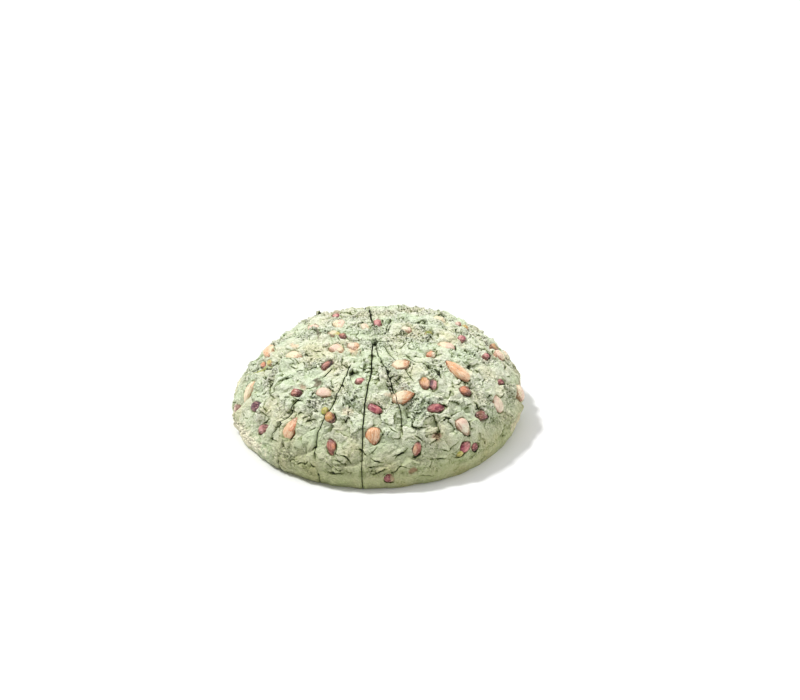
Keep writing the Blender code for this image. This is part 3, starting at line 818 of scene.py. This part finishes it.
def crust_rows(wedge):
    """Rows of point numbers from the tip outwards, each point's share of the way across, and its run."""
    first_run = float(np.interp(wedge.tip, PROFILE[1], PROFILE[0]))
    row_count = round((FULL_RUN - first_run) / CELL)
    rows, shares, runs = [], [], []
    for run in np.linspace(first_run, FULL_RUN, row_count + 1):
        first, last = wedge.lines(run)
        width = float(np.interp(run, PROFILE[0], PROFILE[1])) * math.radians(float(last - first))
        cells = max(1, round(width / CELL))
        rows.append(range(len(shares), len(shares) + cells + 1))
        shares.extend(cell / cells for cell in range(cells + 1))
        runs.extend([run] * (cells + 1))
    return rows, np.array(shares), np.array(runs)


def add_border(vertices, points, line):
    """Adds the points below one edge of the crust and the one under its tip, and returns their numbers."""
    deeper = [len(vertices) + step for step in range(len(line))]
    vertices.extend(below_rim(points[line]))
    vertices.append((*vertices[deeper[0]][:2], 0.0))
    return line, deeper, len(vertices) - 1


def make_slice(wedge, nuts, folds, materials):
    """The whole visible wedge: crust, two knife faces and underside, as one closed mesh."""
    rows, shares, runs = crust_rows(wedge)
    points, painted_shading, rough, stain_and_shade = wedge.crust(shares, runs, nuts, folds)
    faces = [face for upper, lower in zip(rows, rows[1:]) for face in zip_rows(upper, lower)]
    crust_faces = len(faces)
    vertices = [tuple(point) for point in points]
    borders = [add_border(vertices, points, [row[side] for row in rows]) for side in (0, -1)]
    (first_line, first_deeper, first_tip), (last_line, last_deeper, last_tip) = borders
    for line, deeper, order in ((first_line, first_deeper, 1), (last_line, last_deeper, -1)):
        for step in range(len(line) - 1):
            faces.append((line[step], deeper[step], deeper[step + 1], line[step + 1])[::order])
    faces.append((first_tip, *first_deeper)[::-1])
    faces.append((last_tip, *last_deeper))
    faces.append((first_tip, last_tip, last_deeper[0], last_line[0], first_line[0], first_deeper[0]))
    knife_end = len(faces)
    faces.append((last_tip, first_tip, first_deeper[-1], *rows[-1], last_deeper[-1]))
    mesh = bpy.data.meshes.new(f"nougat_{wedge.index + 1:02d}")
    mesh.from_pydata(vertices, [], [face[::-1] for face in faces])
    kinds = np.zeros(len(mesh.polygons), np.int32)
    kinds[crust_faces:knife_end] = 1
    for material in materials:
        mesh.materials.append(material)
    mesh.polygons.foreach_set("material_index", kinds)
    inner_points = len(vertices) - len(points)
    for name, values, inside in (("painted_shading", painted_shading, 0), ("rough", rough, 0), ("inner", 0 * painted_shading, 1)):
        values = np.append(values, np.full(inner_points, inside)).astype(np.float32)
        mesh.attributes.new(name, "FLOAT", "POINT").data.foreach_set("value", values)
    stain_and_shade = np.vstack((stain_and_shade, np.zeros((inner_points, 4)))).astype(np.float32)
    mesh.attributes.new("stain_and_shade", "FLOAT_COLOR", "POINT").data.foreach_set("color", stain_and_shade.ravel())
    mesh.shade_smooth()
    mark_rim_sharp(mesh, crust_faces)
    add_piece(mesh, "nougat", f"slice_{wedge.index + 1:02d}")


def mark_rim_sharp(mesh, crust_faces):
    """Keeps the edges between the crust and the flat faces sharp."""
    sharp = np.zeros(len(mesh.edges), bool)
    for face in mesh.polygons[crust_faces:]:
        for loop in face.loop_indices:
            sharp[mesh.loops[loop].edge_index] = True
    mesh.attributes.new("sharp_edge", "BOOLEAN", "EDGE").data.foreach_set("value", sharp)


def add_piece(mesh, slot, *nodes):
    piece = add_object(mesh.name, mesh)
    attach(piece, "root")
    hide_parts(*nodes)


def linear(red, green, blue):
    """A colour given as the screen shows it, from 0 to 255, as linear light."""
    share = np.array((red, green, blue)) / 255
    return np.where(share <= 0.04045, share / 12.92, ((share + 0.055) / 1.055) ** 2.4)


def blend(first, second, share):
    return first + (second - first) * np.asarray(share)[..., None]


def nut_colours(nut, local, seed):
    """The nut's own colour on the left, the other on the right of a ragged seam, and both with painted shade
    low down, where the nut meets the crust.
    """
    split = np.array([axis.dot(Vector((1, 0, -0.3))) for axis in (nut.along, nut.across, nut.up)])
    seam = local @ split / nut.half_sizes[1] + 0.7 * ripple(local, 0.005, seed)
    left, right = (linear(*COLOURS[name]) for name in (nut.left, nut.right))
    colour = blend(left, right, smoothstep(-0.25, 0.25, seam))
    if nut.left != nut.right:
        line = np.exp(-((seam / 0.10) ** 2)) * np.clip(ripple(local, 0.006, seed + 1) + 0.2, 0, 1)
        colour = blend(colour, colour * (0.5, 0.4, 0.35), 0.8 * line)
    pale = smoothstep(0.1, 0.8, ripple(local, 0.0045, seed + 2))
    colour = blend(colour, np.minimum(colour * 1.35 + 0.05, 0.9), 0.5 * pale)
    above = local[:, 2] - nut.sink + 0.0005 * ripple(local, 0.004, seed + 3)
    low_shade = smoothstep(0.0010, -0.0003, above)
    return blend(colour, colour * nut.make["shade"], 0.9 * low_shade)


def make_nut(nut, seed):
    """Points, faces, colours and grain of a whole nut, a flat drop with ridges along it and a slight bend."""
    long, wide, thick = nut.half_sizes
    bands = max(8, round(2 * long / NUT_CELL))
    sides = max(10, round(math.pi * (wide + thick) / NUT_CELL))
    band_angle = math.pi * np.arange(1, bands) / bands
    side_angle = 2 * math.pi * np.arange(sides) / sides
    place, angle = (grid.ravel() for grid in np.meshgrid(-np.cos(band_angle), side_angle, indexing="ij"))
    width = girth(place, *nut.make["powers"])
    dice = random.Random(seed)
    phase, count = dice.uniform(0, 6), dice.choice((5, 6, 7))
    girdle = 1 + nut.make["ridges"] * np.sin(count * angle + phase + 1.5 * place) * np.sqrt(1 - place**2)
    girdle += 0.05 * np.sin(angle + phase + 2.2 * place)
    bend = dice.uniform(-0.14, 0.14) * wide * (1 - place**2)
    top = np.tanh(1.35 * np.sin(angle)) / math.tanh(1.35)
    top = np.where(top > 0, top * nut.make["crown"], top)
    across = wide * width * girdle * np.cos(angle) + bend
    local = np.stack((long * place, across, thick * width * girdle * top), axis=-1)
    dimples = ripple(local, 0.0042, seed) + 0.7 * ripple(local / (3, 1, 1), 0.0016, seed + 4)
    dimples *= nut.make["dimples"]
    local[:, 1:] *= 1 + (dimples / (np.hypot(local[:, 1], local[:, 2]) + 1e-4))[:, None]
    local = np.vstack((local, ((-long, 0, 0), (long, 0, 0))))
    colours = nut_colours(nut, local, seed)
    axes = np.array((nut.along, nut.across, nut.up))
    points = local @ axes + np.array(nut.centre)
    points[:, 2] = np.maximum(points[:, 2], NUT_FLOOR)
    grain = local * (0.2, 1, 1) + seed
    faces = []
    last = (bands - 2) * sides
    for side in range(sides):
        other = (side + 1) % sides
        faces.append((len(local) - 2, other, side))
        faces.append((len(local) - 1, last + side, last + other))
        for ring in range(0, last, sides):
            faces.append((ring + side, ring + other, ring + sides + other, ring + sides + side))
    return points, faces, colours, grain


def knives_through(nut, wedge):
    """The knife planes that part the nut at this wedge, or None if nothing of the nut is in it."""
    turn = (nut.azimuth - wedge.start + 180) % 360 - 180
    if not -60 < turn < 60 + wedge.angle:
        return None
    first, last = (float(line) for line in wedge.lines(nut.run))
    holds_centre = (nut.azimuth - first) % 360 < (last - first)
    blades = []
    outside = False
    for spot, normal, open_share in wedge.planes(nut.run):
        distance = (nut.centre - spot).dot(normal)
        parted = open_share > 0.5 and abs(distance) < CUT_SHARE * nut.reach_past(normal)
        outside = outside or (distance > 0 and not parted)
        if parted:
            blades.append((spot, normal))
    if holds_centre or (blades and not outside):
        return blades
    return None


def cut_nut(nut, shape, wedges):
    """The nut as closed meshes: whole, or one for each side of an open cut that goes through it."""
    points, faces, colours, grain = shape
    pieces = []
    for wedge in wedges:
        blades = knives_through(nut, wedge)
        if blades is None:
            continue
        mesh = bmesh.new()
        tint = mesh.verts.layers.float_color.new("tint")
        fibre = mesh.verts.layers.float_vector.new("grain")
        corners = [mesh.verts.new(point) for point in points]
        for corner, colour, strand in zip(corners, colours, grain):
            corner[tint] = (*colour, 1)
            corner[fibre] = strand
        for face in faces:
            mesh.faces.new([corners[index] for index in face])
        for spot, normal in blades:
            parts = [*mesh.verts, *mesh.edges, *mesh.faces]
            cut = bmesh.ops.bisect_plane(mesh, geom=parts, plane_co=spot, plane_no=normal, clear_outer=True)
            rim = [item for item in cut["geom_cut"] if isinstance(item, bmesh.types.BMEdge)]
            if rim:
                bmesh.ops.edgeloop_fill(mesh, edges=rim)
        if mesh.faces:
            pieces.append(mesh)
        else:
            mesh.free()
    return pieces


def join_nuts(name, nuts, wedges, material, nodes):
    """All the nuts of one kind as one piece."""
    whole = bmesh.new()
    for number, nut in enumerate(nuts):
        for piece in cut_nut(nut, make_nut(nut, NUT_SEED + NUT_SEED_STEP * number), wedges):
            bmesh.ops.recalc_face_normals(piece, faces=piece.faces)
            part = bpy.data.meshes.new("part")
            piece.to_mesh(part)
            piece.free()
            whole.from_mesh(part)
            bpy.data.meshes.remove(part)
    mesh = bpy.data.meshes.new(name)
    whole.to_mesh(mesh)
    whole.free()
    mesh.materials.append(material)
    mesh.shade_smooth()
    mesh.set_sharp_from_angle(angle=math.radians(50))
    add_piece(mesh, name[:-1], *nodes)


class Nodes:
    """The nodes of a material or of the world."""

    def __init__(self, owner):
        owner.use_nodes = True
        self.tree = owner.node_tree

    def fill(self, node, inputs):
        """Links each input to another node's output, or sets its value."""
        for socket, value in inputs.items():
            if isinstance(value, bpy.types.NodeSocket):
                self.tree.links.new(value, node.inputs[socket])
            else:
                node.inputs[socket].default_value = value

    def add(self, kind, output, inputs, **settings):
        """Adds a node and returns one of its outputs."""
        node = self.tree.nodes.new(kind)
        for name, value in settings.items():
            setattr(node, name, value)
        self.fill(node, inputs)
        return node.outputs[output]


class Shader(Nodes):
    """A material and short ways to add nodes to it. Fixed colours are given as the screen shows them."""

    def __init__(self, name):
        self.material = bpy.data.materials.new(name)
        super().__init__(self.material)
        self.place = self.add("ShaderNodeTexCoord", "Object", {})

    def finish(self, inputs):
        """The material, once the inputs of its surface are filled."""
        self.fill(self.tree.nodes["Principled BSDF"], inputs)
        return self.material

    def attribute(self, name, output="Fac"):
        return self.add("ShaderNodeAttribute", output, {}, attribute_name=name)

    def axis(self, name):
        return self.add("ShaderNodeSeparateXYZ", name, {"Vector": self.place})

    def noise(self, size, detail=2.0, roughness=0.5, kind="FBM", place=None):
        inputs = {"Vector": place or self.place, "Scale": 1 / size, "Detail": detail, "Roughness": roughness}
        return self.add("ShaderNodeTexNoise", "Fac", inputs, noise_type=kind)

    def warped(self, size, reach):
        """The place in the object, bent by noise of this size and reach."""
        bend = self.add("ShaderNodeTexNoise", "Color", {"Vector": self.place, "Scale": 1 / size})
        inputs = {0: bend, 1: (reach, reach, reach), 2: self.place}
        return self.add("ShaderNodeVectorMath", "Vector", inputs, operation="MULTIPLY_ADD")

    def math(self, operation, *values):
        return self.add("ShaderNodeMath", 0, dict(enumerate(values)), operation=operation)

    def times(self, first, second):
        return self.math("MULTIPLY", first, second)

    def plus(self, first, second):
        return self.math("ADD", first, second)

    def scaled(self, value, factor, extra=0.0):
        return self.math("MULTIPLY_ADD", value, factor, extra)

    def remap(self, value, zero, one):
        """0 at one value and 1 at the other, smooth in between."""
        inputs = {"Value": value, "From Min": min(zero, one), "From Max": max(zero, one),
                  "To Min": float(zero > one), "To Max": float(one > zero)}
        return self.add("ShaderNodeMapRange", "Result", inputs, interpolation_type="SMOOTHSTEP")

    def grey(self, value):
        """A number as a colour."""
        return self.add("ShaderNodeCombineColor", "Color", {"Red": value, "Green": value, "Blue": value})

    def ramp(self, value, stops):
        """A colour ramp with stops at these places, each with its colour."""
        output = self.add("ShaderNodeValToRGB", "Color", {"Fac": value})
        elements = output.node.color_ramp.elements
        while len(elements) < len(stops):
            elements.new(0.5)
        for element, (place, colour) in zip(elements, stops):
            element.position = place
            element.color = (*linear(*colour), 1)
        return output

    def mix(self, first, second, share, blend_type="MIX"):
        inputs = {0: share, 6: first, 7: second}
        for socket in (6, 7):
            if not isinstance(inputs[socket], bpy.types.NodeSocket):
                inputs[socket] = (*linear(*inputs[socket]), 1)
        return self.add("ShaderNodeMix", 2, inputs, data_type="RGBA", blend_type=blend_type)

    def bump(self, height, distance, **before):
        return self.add("ShaderNodeBump", "Normal", {"Height": height, "Distance": distance, **before})


def crust_mark_shade(shader, rough, speckle):
    """Fine creases, pits, cracks and specks, from below 0 where the crust gets painted light to 1 where it
    gets painted shade; also the height of a bump.
    """
    bent = shader.warped(0.006, 0.0022)
    creases = shader.noise(0.0026, 3.0, 0.62, "RIDGED_MULTIFRACTAL", bent)
    crease = shader.remap(creases, 0.75, 1.35)
    pit = shader.times(shader.remap(shader.noise(0.0019, 2.0, 0.65, place=bent), 0.585, 0.635),
                       shader.remap(shader.noise(0.012), 0.38, 0.56))
    contour = shader.math("ABSOLUTE", shader.math("SUBTRACT", shader.noise(0.016, place=bent), 0.5))
    crack = shader.times(shader.remap(contour, 0.012, 0.004), shader.remap(shader.noise(0.014), 0.52, 0.60))
    mark_shade = shader.times(shader.plus(shader.scaled(crease, 0.25), shader.scaled(pit, 0.85)), rough)
    mark_shade = shader.plus(mark_shade, shader.scaled(crack, 0.30))
    specks = shader.times(shader.scaled(speckle, 1.8, -0.92), shader.scaled(rough, 0.85, 0.15))
    return shader.plus(mark_shade, specks)


def nougat_material():
    """Painted highlight, pale green, where the crust stands out and painted shade, dark olive, in its hollows
    and creases; yellower and darker low down, partly the foot's own colour and partly painted shade.
    """
    shader = Shader("nougat_crust")
    rough = shader.attribute("rough")
    speckle = shader.noise(0.0021, 1.0, 0.6)
    mark_shade = crust_mark_shade(shader, rough, speckle)
    # The ramp paints highlight where the crust stands out and shade in its hollows and creases.
    depth = shader.plus(shader.scaled(shader.attribute("painted_shading"), 0.70, 0.18), mark_shade)
    depth = shader.plus(depth, shader.scaled(rough, -0.07))
    hues = shader.ramp(shader.noise(0.028, 3.0), CRUST_HUES)
    colour = shader.mix(shader.ramp(depth, CRUST_SHADE_TONES), hues, 0.8, "MULTIPLY")
    # Partly the foot's own yellower colour and partly painted shade: darker and yellower low down, most on
    # the left.
    low = shader.remap(shader.axis("Z"), 0.060, 0.004)
    low = shader.times(low, shader.scaled(shader.remap(shader.axis("X"), -0.115, -0.055), 0.75, 0.25))
    colour = shader.mix(colour, FOOT_TINT_AND_SHADE, low, "MULTIPLY")
    # Stains get the same painted shade and highlight.
    painted_light = shader.scaled(depth, -1.0, 1.25)
    stained = shader.mix(shader.attribute("stain_and_shade", "Color"), shader.grey(painted_light), 1.0, "MULTIPLY")
    colour = shader.mix(colour, stained, shader.attribute("stain_and_shade", "Alpha"))
    normal = shader.bump(speckle, -0.0011, Normal=shader.bump(shader.scaled(mark_shade, -1.0), 0.0011))
    return shader.finish({"Base Color": colour, "Roughness": 0.62, "Specular IOR Level": 0.3,
                          "Normal": normal})


def knife_material():
    """The smooth cut faces, with almonds and pistachios sliced through. The rim under the crust is painted
    dark, as shade in the narrow gap.
    """
    shader = Shader("nougat_knife")
    inputs = {"Vector": shader.warped(0.009, 0.003), "Scale": 1 / SLICED_NUT_SIZE}
    cell_colour = shader.add("ShaderNodeTexVoronoi", "Color", inputs, feature="F1")
    inside = shader.remap(cell_colour.node.outputs["Distance"], 0.46, 0.42)
    inner = shader.attribute("inner")
    nut_share = shader.times(inside, shader.remap(inner, 0.9, 1.0))
    colour = shader.mix(KNIFE_GREEN, shader.ramp(cell_colour, SLICED_NUTS), nut_share)
    # Painted shade along the rim under the crust.
    colour = shader.mix(KNIFE_RIM_SHADE, colour, shader.remap(inner, 0.5, 1.0))
    normal = shader.bump(shader.noise(0.0015), 0.0001)
    return shader.finish({"Base Color": colour, "Roughness": 0.5, "Normal": normal})


def nut_material(name, roughness, coat, streak_depth, pale, dark):
    """Skin with fine streaks and specks along the nut, paler and darker than the nut's own colours; the pale
    streaks and specks are partly the skin's grain and partly painted highlights.
    """
    shader = Shader(name)
    streaks = shader.noise(0.0012, 3.0, 0.65, place=shader.attribute("grain", "Vector"))
    colour = shader.attribute("tint", "Color")
    # Pale streaks and specks: partly grain, partly painted highlights.
    colour = shader.mix(colour, pale, shader.scaled(shader.remap(streaks, 0.50, 0.68), 0.65))
    colour = shader.mix(colour, dark, shader.scaled(shader.remap(streaks, 0.46, 0.32), 0.7), "MULTIPLY")
    specks = shader.remap(shader.noise(0.0014, 2.0, 0.6), 0.58, 0.68)
    colour = shader.mix(colour, pale, shader.scaled(specks, 0.5))
    return shader.finish({"Base Color": colour, "Roughness": roughness, "Coat Weight": coat,
                          "Coat Roughness": 0.3, "Normal": shader.bump(streaks, streak_depth)})


def floor_material():
    shader = Shader("pale_floor")
    tone = shader.ramp(shader.noise(0.9, 1.0), FLOOR_TONES)
    return shader.finish({"Base Color": tone, "Roughness": 0.9, "Specular IOR Level": 0.1})


def add_object(name, data):
    thing = bpy.data.objects.new(name, data)
    bpy.context.scene.collection.objects.link(thing)
    return thing


def make_floor():
    mesh = bpy.data.meshes.new("floor")
    corners = [(x * FLOOR_REACH, y * FLOOR_REACH, 0) for x, y in ((-1, -1), (1, -1), (1, 1), (-1, 1))]
    mesh.from_pydata(corners, [], [(0, 1, 2, 3)])
    mesh.materials.append(floor_material())
    floor = add_object("floor", mesh)


def make_world():
    """A dim white sky, which is as bright as the floor near the horizon."""
    world = bpy.data.worlds.new("studio")
    bpy.context.scene.world = world
    nodes = Nodes(world)
    towards = nodes.add("ShaderNodeTexCoord", "Generated", {})
    upwards = nodes.add("ShaderNodeSeparateXYZ", "Z", {"Vector": towards})
    inputs = {"Value": upwards, "From Min": 0.05, "From Max": 0.09, "To Min": HORIZON, "To Max": SKY}
    strength = nodes.add("ShaderNodeMapRange", "Result", inputs, interpolation_type="SMOOTHSTEP")
    nodes.fill(nodes.tree.nodes["Background"], {"Color": (1, 1, 1, 1), "Strength": strength})


def add_sun(name, towards, softness, strength):
    data = bpy.data.lights.new(name, "SUN")
    data.angle = math.radians(softness)
    data.energy = strength
    add_object(name, data).rotation_euler = Vector(towards).to_track_quat("Z", "Y").to_euler()


def make_camera():
    data = bpy.data.cameras.new("camera")
    data.lens = CAMERA_LENS
    camera = add_object("camera", data)
    camera.location = CAMERA_PLACE
    camera.rotation_euler = (math.radians(90 - CAMERA_DOWN), 0, -math.radians(CAMERA_RIGHT))
    bpy.context.scene.camera = camera


def main():
    make_floor()
    make_world()
    for sun in SUNS:
        add_sun(*sun)
    make_camera()
    bpy.context.scene.view_settings.view_transform = "Standard"

    wedges = [Wedge(index) for index in range(len(CUTS))]
    almonds = make_almonds()
    pistachios = make_pistachios(almonds)
    folds = FOLDS + tuple(strewn_folds())
    materials = nougat_material(), knife_material()
    for wedge in wedges:
        make_slice(wedge, almonds + pistachios, folds, materials)
    almond_nodes = [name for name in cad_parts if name.startswith("almond")]
    almond_skin = nut_material("almond_skin", 0.55, 0.05, 0.0005, *ALMOND_STREAKS_AND_HIGHLIGHTS)
    pistachio_skin = nut_material("pistachio_skin", 0.45, 0.2, 0.0008, *PISTACHIO_STREAKS_AND_HIGHLIGHTS)
    join_nuts("almonds", almonds, wedges, almond_skin, almond_nodes)
    join_nuts("pistachios", pistachios, wedges, pistachio_skin, [])


main()
